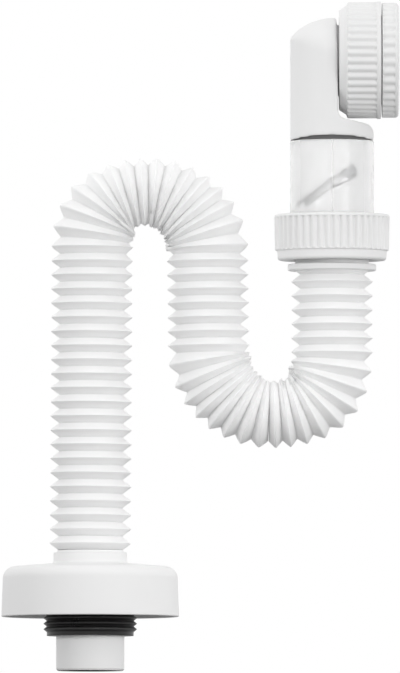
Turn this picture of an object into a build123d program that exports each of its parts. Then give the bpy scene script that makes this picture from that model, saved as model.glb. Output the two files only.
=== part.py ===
from build123d import *
import os
from math import asin, cos, degrees, pi, radians, sin

# Flexible waste trap: sideways inlet elbow, clear flap valve, S-bent pleated hose, push-in outlet
# Lengths in millimetres, angles in degrees. The outlet's lower end is centred on the origin and +Z is up

# Clearances
snug = 0.05
sliding = 0.15
running = 0.06
thread_gap = 0.3
seat_gap = 0.1

# Outlet spigot
spigot_radius = 16.0
spigot_wall = 1.8
spigot_length = 56.5
shank_recess = 0.5
spigot_lead = 0.8

# Rubber grommet on the spigot
grommet_bottom = 16.4
grommet_radius = 20.4
grommet_foot = 1.8
fin_depth = 1.6
fin_pitch = 2.6
fin_count = 6

# Rosette
rosette_drop = 0.9
rim_radius = 41.7
skirt_height = 18.9
skirt_draft = 0.8
shoulder_width = 6.6
shoulder_height = 4.7
shoulder_round = 4.0
crown_rise = 1.7
rosette_wall = 2.2
neck_wall = 1.6
neck_height = 4.9
neck_round = 1.2

# Pleated hose
crest_radius = 19.1
pleat_depth = 4.5
leg_pitch = 6.63
bend_pitch = 5.312
pleat_count = 66
hose_sides = 36
hose_bore_radius = 12.6
cuff_length = 10.0
bore_bend_steps = 6
bend_blend = 30.0

# Route of the hose's centre line
left_leg_lean = 0.9
upper_bend_z = 197.9
upper_bend_rise = 27.0
middle_leg_x = 55.0
middle_leg_lean = 0.6
lower_bend_z = 149.6
lower_bend_drop = 29.2
head_x = 113.5
outer_shoulder = 0.68
inner_shoulder = 0.51

# Collar on the hose's upper end
flare_radius = 17.0
stop_ring_radius = 20.8
stop_ring_height = 3.1
collar_neck_radius = 17.25
collar_gap = 1.8
collar_wall = 1.9
flange_gap = 0.8
collar_flange_height = 3.0
hose_plug_height = 8.0

# Union nuts
nut_lip = 2.6
rib_height = 0.9
rib_share = 0.62
rib_flank = 72
hose_nut_height = 21.6
hose_nut_wall = 3.5
hose_nut_band = 5.0
hose_nut_band_step = 0.6
hose_nut_rim = 1.3
hose_nut_ribs = 46
hose_nut_round = 1.2

# Clear valve body
valve_step = 0.1
valve_wall = 2.3
valve_thread_step = 2.7
valve_thread_height = 14.8
valve_height = 48.4
washer_height = 2.0

# Inlet elbow
body_radius = 19.6
body_wall = 2.4
skirt_arch = 1.9
skirt_wall = 1.2
seal_height = 2.6
shoulder_rise = 10.3
shoulder_fall = 3.3
shoulder_corner = 4.5
shoulder_fillet = 3.5
inlet_rise = 38.0
arch_step = 0.3
dome_round = 11.0
face_x = 2.1
face_lean = 0.8
stub_radius = 16.2
stub_wall = 2.2
drop_wall = 1.8
drop_gap = 0.4

# Flap valve under the drop tube's oblique floor
floor_slope = 37.5
floor_drop = 18.0
floor_wall = 1.8
seat_radius = 10.2
seat_offset = 5.5
flap_radius = 11.9
flap_thick = 1.6
pad_radius = 11.4
pad_thick = 1.2
hinge_u = 8.9
hinge_depth = 3.4
knuckle_radius = 2.8
knuckle_length = 5.2
ear_radius = 2.6
ear_thick = 2.0
hinge_play = 0.3
pin_radius = 1.0
pin_tail = 0.4
spring_radius = 2.5
wire_radius = 0.4
spring_turns = 2
spring_pitch = 1.05
spring_reach = 11.0

# Inlet union nut and threaded adapter
inlet_nut_gap = 0.4
inlet_collar = 3.7
inlet_collar_radius = 25.8
inlet_ribbed = 14.1
inlet_nut_radius = 26.4
inlet_flange = 1.9
inlet_flange_radius = 27.6
inlet_nut_ribs = 45
stub_flange_radius = 20.4
stub_flange = 3.0
adapter_gap = 0.45
adapter_thread_radius = 20.95
adapter_ring = 7.8
adapter_radius = 26.1
adapter_ribs = 36
adapter_lead = 1.5
inlet_bore_radius = 16.1
washer_grip = 0.9

os.makedirs("parts", exist_ok=True)


def rib_ring(plane, radius, count):
    """Ring of straight grip ribs in section, rising from a radius about the plane's origin."""
    width = 2 * pi * radius / count * rib_share
    with BuildSketch(plane) as ring:
        with PolarLocations(radius + (rib_height - snug) / 2, count):
            Trapezoid(width, rib_height + snug, rib_flank, rotation=-90)
    return ring.sketch


# Outlet spigot: plain end, a slightly recessed shank above it for the grommet and the rosette
spigot_bore = spigot_radius - spigot_wall
shank_radius = spigot_radius - shank_recess
with BuildPart() as outlet_spigot:
    with BuildSketch():
        Circle(spigot_radius)
    extrude(amount=grommet_bottom)
    chamfer(outlet_spigot.edges().group_by(Axis.Z)[0], spigot_lead)
    with BuildSketch(Plane.XY.offset(grommet_bottom)):
        Circle(shank_radius)
    extrude(amount=spigot_length - grommet_bottom)
    with BuildSketch():
        Circle(spigot_bore)
    extrude(amount=spigot_length, mode=Mode.SUBTRACT)

# Rubber grommet: sleeve with sharp fins that seal in the drain pipe
grommet_bore = shank_radius + snug
grommet_top = grommet_bottom + grommet_foot + fin_count * fin_pitch
with BuildPart() as outlet_grommet:
    with BuildSketch(Plane.XZ):
        with BuildLine():
            fin_edge = [(grommet_radius, grommet_bottom)]
            for fin in range(fin_count):
                fin_z = grommet_bottom + grommet_foot + fin * fin_pitch
                fin_edge.append((grommet_radius, fin_z))
                fin_edge.append((grommet_radius + fin_depth, fin_z + fin_pitch / 2))
            fin_edge.append((grommet_radius, grommet_top))
            Polyline(*fin_edge, (grommet_bore, grommet_top), (grommet_bore, grommet_bottom), close=True)
        make_face()
    revolve(axis=Axis.Z)

# Rosette: hollow bell with a short neck that slides on the spigot
rosette_bore = shank_radius + sliding
neck_radius = rosette_bore + neck_wall
rim_z = spigot_length - rosette_drop - neck_height - crown_rise - shoulder_height - skirt_height
skirt_top_z = rim_z + skirt_height
skirt_top_radius = rim_radius - skirt_draft
crown_edge_radius = skirt_top_radius - shoulder_width
crown_edge_z = skirt_top_z + shoulder_height
crown_z = crown_edge_z + crown_rise
neck_top_z = crown_z + neck_height
with BuildPart() as escutcheon:
    with BuildSketch(Plane.XZ):
        with BuildLine():
            FilletPolyline(
                (rim_radius, rim_z),
                (skirt_top_radius, skirt_top_z),
                (crown_edge_radius, crown_edge_z),
                (neck_radius, crown_z),
                (neck_radius, neck_top_z),
                (rosette_bore, neck_top_z),
                radius=[shoulder_round, shoulder_round, neck_round, neck_wall / 3],
            )
            Polyline(
                (rosette_bore, neck_top_z),
                (rosette_bore, crown_z - rosette_wall),
                (crown_edge_radius - rosette_wall / 2, crown_edge_z - rosette_wall),
                (skirt_top_radius - rosette_wall, skirt_top_z - rosette_wall / 2),
                (rim_radius - rosette_wall, rim_z),
                (rim_radius, rim_z),
            )
        make_face()
    revolve(axis=Axis.Z)


# Hose route: three straight legs joined by two U-bends with fuller outer shoulders
foot = Vector(0, 0, spigot_length)
left_top = Vector(left_leg_lean, 0, upper_bend_z)
middle_top = Vector(middle_leg_x, 0, upper_bend_z)
middle_low = Vector(middle_leg_x + middle_leg_lean, 0, lower_bend_z)
right_low = Vector(head_x, 0, lower_bend_z)
route_end = Vector(head_x, 0, lower_bend_z + pleat_count * leg_pitch)
crown_point = Vector((left_top.X + middle_top.X) / 2, 0, upper_bend_z + upper_bend_rise)
dip_point = Vector((middle_low.X + right_low.X) / 2, 0, lower_bend_z - lower_bend_drop)


def quarter_bend(start, corner, end, shoulder):
    """Control points of a quarter of a U-bend, fuller towards its corner as shoulder grows."""
    return start, start + (corner - start) * shoulder, end + (corner - end) * shoulder, end


with BuildLine() as route_line:
    left_leg = Line(foot, left_top)
    left_corner = Vector(left_top.X, 0, crown_point.Z)
    rise = Bezier(*quarter_bend(left_top, left_corner, crown_point, outer_shoulder))
    middle_corner = Vector(middle_top.X, 0, crown_point.Z)
    fall = Bezier(*quarter_bend(crown_point, middle_corner, middle_top, inner_shoulder))
    middle_leg = Line(middle_top, middle_low)
    low_corner = Vector(middle_low.X, 0, dip_point.Z)
    sink = Bezier(*quarter_bend(middle_low, low_corner, dip_point, inner_shoulder))
    right_corner = Vector(right_low.X, 0, dip_point.Z)
    climb = Bezier(*quarter_bend(dip_point, right_corner, right_low, outer_shoulder))
    right_leg = Line(right_low, route_end)
route = route_line.wire()


def on_route(distance):
    """Point of the hose's centre line at a distance from the foot."""
    return route.position_at(distance, position_mode=PositionMode.LENGTH)


def half_pitch(distance):
    """Half the pleat pitch at a distance along the route, which closes up in a bend."""
    tangent = route.tangent_at(distance, position_mode=PositionMode.LENGTH)
    level = cos(radians(bend_blend))
    upright_share = max(0, (abs(tangent.Z) - level) / (1 - level))
    return (bend_pitch + (leg_pitch - bend_pitch) * upright_share) / 2


valley_points = [on_route(0)]
valley_halves = [leg_pitch / 2]
distance = 0.0
for pleat in range(pleat_count):
    half = valley_halves[-1]
    next_half = half_pitch(distance + 2 * half)
    chord = half + next_half
    step = chord
    for refinement in range(30):
        step += chord - (on_route(distance + step) - valley_points[-1]).length
    distance += step
    valley_points.append(on_route(distance))
    valley_halves.append(next_half)

pleat_slope = pleat_depth / (leg_pitch / 2)
pleat_ways = [(after - before).normalized() for before, after in zip(valley_points, valley_points[1:])]
mitre_ways = [Vector(0, 0, 1)]
mitre_ways += [before + after for before, after in zip(pleat_ways, pleat_ways[1:])]
mitre_ways += [pleat_ways[-1]]


def ring_of(centre, way, radius):
    """Corners of a flat-sided ring square to a direction, counted from the side of the hose."""
    side = Vector(0, 1, 0)
    across_bend = way.cross(side)
    turns = [2 * pi * corner / hose_sides for corner in range(hose_sides)]
    return [centre + (side * cos(turn) + across_bend * sin(turn)) * radius for turn in turns]


def carried(corners, flanks, point, way):
    """Corners carried along their flanks to the plane through a point, square to a direction."""
    return [c + f * ((point - c).dot(way) / f.dot(way)) for c, f in zip(corners, flanks)]


# Pleated hose: flat-sided mitred pleats, a smooth bore, a cuff in the spigot and a flared plug
head_plane = Plane((head_x, 0, 0), x_dir=(1, 0, 0), z_dir=(0, -1, 0))
head_axis = Axis((head_x, 0, 0), (0, 0, 1))
hose_end_z = valley_points[-1].Z
valley_radius = crest_radius - pleat_slope * leg_pitch / 2
collar_z = hose_end_z + (flare_radius - valley_radius) / pleat_slope
collar_bore = collar_neck_radius - collar_wall
plug_radius = collar_bore - snug
plug_lead = flare_radius - plug_radius
plug_top = collar_z + hose_plug_height
cuff_radius = spigot_bore - snug
cuff_bottom = spigot_length - cuff_length

upper_start = left_leg.length
upper_length = rise.length + fall.length
lower_start = upper_start + upper_length + middle_leg.length
lower_length = sink.length + climb.length
bore_points = [Vector(0, 0, cuff_bottom), foot]
for bend_from, bend_length in ((upper_start, upper_length), (lower_start, lower_length)):
    for bend_step in range(bore_bend_steps + 1):
        bore_points.append(on_route(bend_from + bend_length * bend_step / bore_bend_steps))
bore_points.append(Vector(head_x, 0, plug_top))

upright = Vector(0, 0, 1)
cuff_foot = Vector(0, 0, cuff_bottom)
hose_rings = [ring_of(cuff_foot, upright, cuff_radius), ring_of(foot, upright, cuff_radius)]
for pleat in range(pleat_count):
    way = pleat_ways[pleat]
    crest_centre = valley_points[pleat] + way * valley_halves[pleat]
    crest_ring = ring_of(crest_centre, way, crest_radius)
    if pleat == 0:
        rising = [way + (corner - crest_centre).normalized() * pleat_slope for corner in crest_ring]
        hose_rings.append(carried(crest_ring, rising, valley_points[0], mitre_ways[0]))
    falling = [way - (corner - crest_centre).normalized() * pleat_slope for corner in crest_ring]
    hose_rings.append(crest_ring)
    hose_rings.append(carried(crest_ring, falling, valley_points[pleat + 1], mitre_ways[pleat + 1]))
plug_outline = [(collar_z, flare_radius), (collar_z + plug_lead, plug_radius), (plug_top, plug_radius)]
for plug_z, radius in plug_outline:
    hose_rings.append(ring_of(Vector(head_x, 0, plug_z), upright, radius))

bore_ways = [(after - before).normalized() for before, after in zip(bore_points, bore_points[1:])]
bore_rings = [ring_of(bore_points[0], upright, hose_bore_radius)]
for joint, way in enumerate(bore_ways):
    bisector = way + bore_ways[min(joint + 1, len(bore_ways) - 1)]
    bore_rings.append(carried(bore_rings[-1], [way] * hose_sides, bore_points[joint + 1], bisector))
hose_rings += bore_rings[::-1]

hose_flats = []
for ring, following in zip(hose_rings, hose_rings[1:] + hose_rings[:1]):
    for corner in range(hose_sides):
        beside = (corner + 1) % hose_sides
        outline = [ring[corner], ring[beside], following[beside], following[corner]]
        hose_flats.append(Face(Wire.make_polygon(outline)))
with BuildPart() as hose:
    add(Solid(Shell(hose_flats)))

# Radii of the head, from the elbow's drum outwards
valve_radius = body_radius + valve_step
valve_thread_radius = valve_radius + valve_thread_step
collar_flange_radius = valve_thread_radius - flange_gap
hose_nut_bore = valve_thread_radius + thread_gap
hose_nut_radius = hose_nut_bore + hose_nut_wall
hose_nut_band_radius = hose_nut_radius - hose_nut_band_step
arch_radius = body_radius + arch_step

# Collar: captive flange inside the nut, stop ring below it
nut_z = collar_z + stop_ring_height + collar_gap
flange_z = nut_z + nut_lip + seat_gap
flange_top = flange_z + collar_flange_height
with BuildPart() as hose_collar:
    with BuildSketch(head_plane):
        with BuildLine():
            Polyline(
                (collar_bore + plug_lead, collar_z),
                (stop_ring_radius, collar_z),
                (stop_ring_radius, collar_z + stop_ring_height),
                (collar_neck_radius, collar_z + stop_ring_height),
                (collar_neck_radius, flange_z),
                (collar_flange_radius, flange_z),
                (collar_flange_radius, flange_top),
                (collar_bore, flange_top),
                (collar_bore, collar_z + plug_lead),
                close=True,
            )
        make_face()
    revolve(axis=head_axis)
    stop_edges = hose_collar.edges().filter_by(GeomType.CIRCLE)
    fillet([e for e in stop_edges if abs(e.radius - stop_ring_radius) < snug], stop_ring_height / 4)

# Flat rubber washer on the collar's flange
valve_z = flange_top + washer_height
with BuildPart() as hose_seal:
    with BuildSketch(Plane((head_x, 0, flange_top))):
        Circle(collar_flange_radius)
        Circle(collar_bore, mode=Mode.SUBTRACT)
    extrude(amount=washer_height)

# Union nut round the collar: inward lip, smooth band, grip ribs and a plain top rim
nut_top = nut_z + hose_nut_height
with BuildPart() as hose_nut:
    with BuildSketch(head_plane):
        with BuildLine():
            FilletPolyline(
                (collar_neck_radius + thread_gap, nut_z),
                (hose_nut_band_radius, nut_z),
                (hose_nut_band_radius, nut_z + hose_nut_band),
                radius=hose_nut_round,
            )
            Polyline(
                (hose_nut_band_radius, nut_z + hose_nut_band),
                (hose_nut_radius, nut_z + hose_nut_band),
                (hose_nut_radius, nut_top - hose_nut_rim),
                (hose_nut_radius - hose_nut_rim, nut_top),
                (hose_nut_bore, nut_top),
                (hose_nut_bore, nut_z + nut_lip),
                (collar_neck_radius + thread_gap, nut_z + nut_lip),
                (collar_neck_radius + thread_gap, nut_z),
            )
        make_face()
    revolve(axis=head_axis)
    hose_nut_ring = rib_ring(Plane((head_x, 0, nut_z + hose_nut_band)), hose_nut_radius, hose_nut_ribs)
    extrude(hose_nut_ring, amount=hose_nut_height - hose_nut_band - hose_nut_rim)

# Clear valve body: straight tube, its threaded foot left at the crest radius
valve_bore = valve_radius - valve_wall
valve_top = valve_z + valve_height
with BuildPart() as valve_body:
    with BuildSketch(head_plane):
        with BuildLine():
            Polyline(
                (valve_bore, valve_z),
                (valve_thread_radius, valve_z),
                (valve_thread_radius, valve_z + valve_thread_height),
                (valve_radius, valve_z + valve_thread_height + valve_thread_radius - valve_radius),
                (valve_radius, valve_top),
                (valve_bore, valve_top),
                close=True,
            )
        make_face()
    revolve(axis=head_axis)

# Levels and planes of the elbow, the oblique floor and the inlet
elbow_z = valve_top + seat_gap
inlet_z = elbow_z + inlet_rise
hollow_z = elbow_z + seal_height + skirt_wall
drop_radius = valve_bore - drop_gap
groove_radius = body_radius - skirt_wall
uphill = Vector(cos(radians(floor_slope)), 0, sin(radians(floor_slope)))
floor_centre = Vector(head_x, 0, elbow_z - floor_drop)
floor_plane = Plane(floor_centre, x_dir=uphill, z_dir=(-uphill.Z, 0, uphill.X))
hinge_plane = Plane(floor_centre, x_dir=uphill, z_dir=(0, -1, 0))
hinge_point = (hinge_u, -hinge_depth)
inlet_plane = Plane((0, 0, inlet_z), x_dir=(1, 0, 0), z_dir=(0, -1, 0))
inlet_axis = Axis((0, 0, inlet_z), (1, 0, 0))
inlet_nut_x = head_x + face_x + face_lean + inlet_nut_gap
stub_flange_x = inlet_nut_x + nut_lip + seat_gap
stub_end_x = stub_flange_x + stub_flange


def across(x):
    """Plane square to the inlet's axis at a distance along X."""
    return Plane((x, 0, inlet_z), x_dir=(0, 1, 0), z_dir=(1, 0, 0))


def elbow_form(inset, bottom):
    """The elbow's drum, cut back to a leaning face over a shoulder, or its hollow when inset."""
    side = body_radius - inset
    top = inlet_z + arch_radius - inset
    shoulder = (face_x + face_lean - inset, elbow_z + shoulder_rise - inset)
    shoulder_end = (side, shoulder[1] - shoulder_fall)
    face_top = (face_x - inset, top)
    with BuildPart() as form:
        with BuildSketch(head_plane) as outline:
            with BuildLine():
                foot_line = [(-side, bottom), (side, bottom)]
                Polyline(*foot_line, shoulder_end, shoulder, face_top, (-side, top), close=True)
            make_face()
            fillet(outline.vertices().sort_by_distance(shoulder)[0], shoulder_fillet + inset)
            if inset < shoulder_corner / 2:
                fillet(outline.vertices().sort_by_distance(shoulder_end)[0], shoulder_corner - inset)
        extrude(amount=body_radius, both=True)
        with BuildSketch(Plane((head_x, 0, bottom))):
            Circle(side)
        extrude(amount=top - bottom, mode=Mode.INTERSECT)
        with BuildSketch(across(head_x - body_radius)):
            Circle(arch_radius - inset)
            Rectangle(2 * (arch_radius - inset), inlet_z - bottom, align=(Align.CENTER, Align.MAX))
        extrude(amount=2 * body_radius, mode=Mode.INTERSECT)
        dome_edges = form.edges().filter_by(lambda e: e.center().X < head_x + face_x - inset - snug)
        fillet(dome_edges.group_by(Axis.Z)[-1], dome_round - inset)
    return form.part


def drop_form(radius, lift):
    """Round plug of the drop tube, its lower end cut to the floor's slope and lifted off the floor."""
    with BuildPart() as plug:
        with BuildSketch(Plane((head_x, 0, floor_centre.Z - body_radius))):
            Circle(radius)
        extrude(amount=hollow_z + body_wall - floor_centre.Z + body_radius)
        split(bisect_by=floor_plane.offset(lift), keep=Keep.TOP)
    return plug.part


# Inlet elbow: drum with an arched skirt, sideways stub, and a drop tube with an oblique seated floor
elbow_outside = elbow_form(0, elbow_z)
elbow_hollow = elbow_form(body_wall, hollow_z)
drop_outside = drop_form(drop_radius, 0)
drop_bore = drop_form(drop_radius - drop_wall, floor_wall)
ear_y = knuckle_length / 2 + hinge_play
with BuildPart() as inlet_elbow:
    add(elbow_outside)
    with BuildSketch(head_plane):
        with BuildLine():
            ThreePointArc((-body_radius, elbow_z), (0, elbow_z + skirt_arch), (body_radius, elbow_z))
            Line((-body_radius, elbow_z), (body_radius, elbow_z))
        make_face()
    extrude(amount=body_radius, both=True, mode=Mode.SUBTRACT)
    with BuildSketch(across(head_x)):
        Circle(stub_radius)
    extrude(amount=stub_end_x - head_x)
    with BuildSketch(across(stub_flange_x)):
        Circle(stub_flange_radius)
    extrude(amount=stub_flange)
    add(drop_outside)
    add(elbow_hollow, mode=Mode.SUBTRACT)
    add(drop_bore, mode=Mode.SUBTRACT)
    with BuildSketch(across(head_x - body_wall)):
        Circle(stub_radius - stub_wall)
    extrude(amount=stub_end_x - head_x + body_wall, mode=Mode.SUBTRACT)
    with BuildSketch(Plane((head_x, 0, elbow_z))):
        Circle(groove_radius)
        Circle(drop_radius, mode=Mode.SUBTRACT)
    extrude(amount=seal_height, mode=Mode.SUBTRACT)
    with BuildSketch(floor_plane):
        with Locations((-seat_offset, 0)):
            Circle(seat_radius)
    extrude(amount=2 * floor_wall, mode=Mode.SUBTRACT)
    for ear_start in (ear_y, -ear_y - ear_thick):
        with BuildSketch(hinge_plane.offset(ear_start)):
            with Locations(hinge_point):
                Circle(ear_radius)
                Rectangle(2 * ear_radius, hinge_depth + floor_wall / 2, align=(Align.CENTER, Align.MIN))
                Circle(pin_radius + snug, mode=Mode.SUBTRACT)
        extrude(amount=ear_thick)

# Dark sealing ring in the elbow's groove, seen under the arched skirt
with BuildPart() as elbow_seal:
    with BuildSketch(Plane((head_x, 0, elbow_z))):
        Circle(groove_radius - snug)
        Circle(drop_radius + snug, mode=Mode.SUBTRACT)
    extrude(amount=seal_height)

# Flap: disc and arm below the floor, with a knuckle on the pin
flap_drop = seat_gap + pad_thick + flap_thick
with BuildPart() as flap:
    with BuildSketch(floor_plane.offset(-flap_drop)):
        with Locations((-seat_offset, 0)):
            Circle(flap_radius)
            Rectangle(hinge_u + seat_offset, knuckle_length, align=(Align.MIN, Align.CENTER))
    extrude(amount=flap_thick)
    with BuildSketch(hinge_plane.offset(-knuckle_length / 2)):
        with Locations(hinge_point):
            Circle(knuckle_radius)
    extrude(amount=knuckle_length)
    with BuildSketch(hinge_plane.offset(-knuckle_length / 2)):
        with Locations(hinge_point):
            Circle(pin_radius + running)
    extrude(amount=knuckle_length, mode=Mode.SUBTRACT)

# Rubber facing that closes the seat
with BuildPart() as flap_pad:
    with BuildSketch(floor_plane.offset(-seat_gap - pad_thick)):
        with Locations((-seat_offset, 0)):
            Circle(pad_radius)
    extrude(amount=pad_thick)

# Hinge pin, longer towards the front to carry the spring
ear_end = ear_y + ear_thick
spring_start = ear_end + hinge_play + wire_radius
leg_angle = degrees(asin(spring_radius / spring_reach))
spring_turn = spring_turns + (90 + leg_angle) / 360
pin_front = spring_start + spring_turn * spring_pitch + wire_radius + pin_tail
with BuildPart() as flap_pin:
    with BuildSketch(hinge_plane.offset(-ear_end - pin_tail)):
        with Locations(hinge_point):
            Circle(pin_radius)
    extrude(amount=ear_end + pin_tail + pin_front)

# Closing spring: coil on the pin, one leg under the flap and one tail up against the floor
coil_angle = radians(-90 - leg_angle)
coil_centre = hinge_plane.offset(spring_start).from_local_coords((hinge_u, -hinge_depth, 0))
coil_start = hinge_plane.x_dir * cos(coil_angle) + hinge_plane.y_dir * sin(coil_angle)
coil_plane = Plane(coil_centre, x_dir=coil_start, z_dir=hinge_plane.z_dir)
leg_length = spring_reach * cos(radians(leg_angle))
tail_length = hinge_depth - wire_radius - snug
coil = Wire(coil_plane * Helix(spring_pitch, spring_turn * spring_pitch, spring_radius))
with BuildPart() as flap_spring:
    with BuildSketch(Plane(coil @ 0, z_dir=coil % 0)):
        Circle(wire_radius)
    sweep(path=coil, is_frenet=True)
    with BuildSketch(Plane(coil @ 0, z_dir=-(coil % 0))):
        Circle(wire_radius)
    extrude(amount=leg_length)
    with BuildSketch(Plane(coil @ 1, z_dir=coil % 1)):
        Circle(wire_radius)
    extrude(amount=tail_length)

# Flat rubber washer between the stub and the adapter
adapter_x = stub_end_x + washer_height
with BuildPart() as inlet_washer:
    with BuildSketch(across(stub_end_x)):
        Circle(stub_flange_radius)
        Circle(inlet_bore_radius - washer_grip, mode=Mode.SUBTRACT)
    extrude(amount=washer_height)

# Inlet union nut: captive behind the stub's flange, with a smooth collar, grip ribs and an end flange
inlet_nut_bore = adapter_thread_radius + thread_gap
inlet_rib_x = inlet_nut_x + inlet_collar
inlet_flange_x = inlet_rib_x + inlet_ribbed
inlet_nut_end = inlet_flange_x + inlet_flange
with BuildPart() as inlet_union_nut:
    with BuildSketch(inlet_plane):
        with BuildLine():
            FilletPolyline(
                (inlet_nut_x, stub_radius + thread_gap),
                (inlet_nut_x, inlet_collar_radius),
                (inlet_rib_x, inlet_collar_radius),
                radius=hose_nut_round,
            )
            Polyline(
                (inlet_rib_x, inlet_collar_radius),
                (inlet_rib_x, inlet_nut_radius),
                (inlet_flange_x, inlet_nut_radius),
                (inlet_flange_x, inlet_flange_radius),
                (inlet_nut_end, inlet_flange_radius),
                (inlet_nut_end, inlet_nut_bore),
                (inlet_nut_x + nut_lip, inlet_nut_bore),
                (inlet_nut_x + nut_lip, stub_radius + thread_gap),
                (inlet_nut_x, stub_radius + thread_gap),
            )
        make_face()
    revolve(axis=inlet_axis)
    extrude(rib_ring(across(inlet_rib_x), inlet_nut_radius, inlet_nut_ribs), amount=inlet_ribbed)

# Inlet adapter: nipple screwed into the nut, coarse grip ring outside, bore for the waste tail
adapter_ring_x = inlet_nut_end + adapter_gap
adapter_end = adapter_ring_x + adapter_ring
with BuildPart() as inlet_adapter:
    with BuildSketch(inlet_plane):
        with BuildLine():
            Polyline(
                (adapter_x, inlet_bore_radius),
                (adapter_x, adapter_thread_radius),
                (adapter_ring_x, adapter_thread_radius),
                (adapter_ring_x, adapter_radius),
                (adapter_end - adapter_lead, adapter_radius),
                (adapter_end, adapter_radius - adapter_lead),
                (adapter_end, inlet_bore_radius),
                close=True,
            )
        make_face()
    revolve(axis=inlet_axis)
    adapter_grip = rib_ring(across(adapter_ring_x), adapter_radius, adapter_ribs)
    extrude(adapter_grip, amount=adapter_ring - adapter_lead)

pieces = {
    "outlet_spigot": outlet_spigot,
    "outlet_grommet": outlet_grommet,
    "escutcheon": escutcheon,
    "hose": hose,
    "hose_collar": hose_collar,
    "hose_seal": hose_seal,
    "hose_nut": hose_nut,
    "valve_body": valve_body,
    "elbow_seal": elbow_seal,
    "inlet_elbow": inlet_elbow,
    "flap": flap,
    "flap_pad": flap_pad,
    "flap_pin": flap_pin,
    "flap_spring": flap_spring,
    "inlet_washer": inlet_washer,
    "inlet_union_nut": inlet_union_nut,
    "inlet_adapter": inlet_adapter,
}
for name, piece in pieces.items():
    piece.part.label = name
    export_step(piece.part, f"parts/{name}.step")
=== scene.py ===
import math

import bmesh
import bpy
from bpy.props import FloatProperty, FloatVectorProperty, IntProperty, PointerProperty
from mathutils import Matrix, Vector


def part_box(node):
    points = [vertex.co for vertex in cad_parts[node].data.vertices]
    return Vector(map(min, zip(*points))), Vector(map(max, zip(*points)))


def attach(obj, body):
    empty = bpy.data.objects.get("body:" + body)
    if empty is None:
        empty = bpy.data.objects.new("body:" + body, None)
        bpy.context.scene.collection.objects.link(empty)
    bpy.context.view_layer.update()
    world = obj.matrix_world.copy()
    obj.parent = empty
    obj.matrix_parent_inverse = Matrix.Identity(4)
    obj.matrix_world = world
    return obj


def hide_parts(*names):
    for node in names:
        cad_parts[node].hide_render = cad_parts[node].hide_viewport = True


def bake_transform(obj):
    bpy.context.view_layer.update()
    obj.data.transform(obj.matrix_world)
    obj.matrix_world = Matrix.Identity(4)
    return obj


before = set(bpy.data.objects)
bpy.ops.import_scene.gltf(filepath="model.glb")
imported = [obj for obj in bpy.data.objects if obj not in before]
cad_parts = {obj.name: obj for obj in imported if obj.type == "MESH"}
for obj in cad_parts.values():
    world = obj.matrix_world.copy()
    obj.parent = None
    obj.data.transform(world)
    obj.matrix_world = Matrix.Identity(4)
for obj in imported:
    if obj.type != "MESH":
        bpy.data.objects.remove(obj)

bl_info = {
    "name": "Flexible trap",
    "version": (1, 0, 0),
    "blender": (4, 5, 0),
    "location": "View3D > Sidebar > Trap",
    "description": "Dresses the flexible trap's pieces over its fixed frame and sets its studio",
    "category": "Object",
}

MM = 0.001

# Start of the finishes' names, which sets them apart from the frame's plain materials
FINISH = "finish_"

# Room left at a seal, so that faces that meet don't cut through each other at any pose
SEAT = 0.05

# Points closer than this are one point of a merged mesh
JOIN = 0.000002

# Points round a grip for each of its ribs, and rows along ribs, which run straight, and along threads
RIB_POINTS = 12
RIB_STEP = 20.0
THREAD_STEP = 0.25

# How narrow the grooves are, and the angle past which the edges of a fluted piece stay sharp
RIB_SHARPNESS = 3.0
THREAD_SHARPNESS = 2.0
FLUTED_EDGE = 60

# Values that a noise texture mostly keeps between
NOISE_LOW, NOISE_HIGH = 0.3, 0.7

# Spread of a lamp that shines all ways; only such a lamp is mirrored in the pieces
OPEN_SPREAD = 180
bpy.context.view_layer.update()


def reach(node, axis):
    """Lowest and highest place of a frame node along an axis, in millimetres."""
    low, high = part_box(node)
    return low[axis] / MM, high[axis] / MM


HEAD_X = sum(reach("valve_body", 0)) / 2
INLET_Z = sum(reach("inlet_union_nut", 2)) / 2


# Sizes, colours and studio values that a user would change


def length_value(name, about, default):
    """Property that holds a length in metres."""
    return FloatProperty(name=name, description=about, default=default, unit="LENGTH")


def colour_value(name, about, default):
    """Property that holds a finish's colour."""
    return FloatVectorProperty(name=name, description=about, default=default, subtype="COLOR", max=1)


class TrapHose(bpy.types.PropertyGroup):
    """Sizes of the pleated hose."""

    crest: length_value("Crest radius", "Radius over the pleats", 0.0191)
    depth: length_value("Pleat depth", "From a crest down to a valley", 0.0045)
    leg_pitch: length_value("Leg pitch", "Pleat spacing on the straight legs", 0.00663)
    bend_pitch: length_value("Bend pitch", "Pleat spacing in the bends", 0.00531)
    pleats: IntProperty(name="Pleats", description="Pleats from foot to head", default=66, min=1)
    sides: IntProperty(name="Sides", description="Points round the hose", default=72, min=12)
    wall: length_value("Wall", "Thickness of the hose's skin", 0.0008)
    ease: FloatProperty(
        name="Outer ease",
        description="How far a bend opens its outer pleats",
        default=0.08,
        subtype="FACTOR",
    )
    close: FloatProperty(
        name="Inner close",
        description="How far a bend closes its inner pleats",
        default=0.85,
        subtype="FACTOR",
    )
    oval: FloatProperty(
        name="Bend oval", description="How far a bend flattens the hose", default=0.17, subtype="FACTOR"
    )


class TrapGrip(bpy.types.PropertyGroup):
    """Sizes of the ribbed and threaded fittings."""

    hose_nut_ribs: IntProperty(name="Hose nut ribs", description="Ribs round the hose nut", default=46)
    inlet_nut_ribs: IntProperty(name="Inlet nut ribs", description="Ribs round the inlet nut", default=45)
    adapter_ribs: IntProperty(name="Adapter ribs", description="Ribs round the adapter", default=36)
    rib_depth: length_value("Rib depth", "From a rib's back down to its groove", 0.0011)
    thread_depth: length_value("Thread depth", "From a thread's crest to its root", 0.0009)
    coil: length_value("Spring coil", "Radius of the closing spring's coil", 0.0025)
    thread_pitch: length_value("Thread pitch", "Advance of the threads per turn", 0.003)


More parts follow.
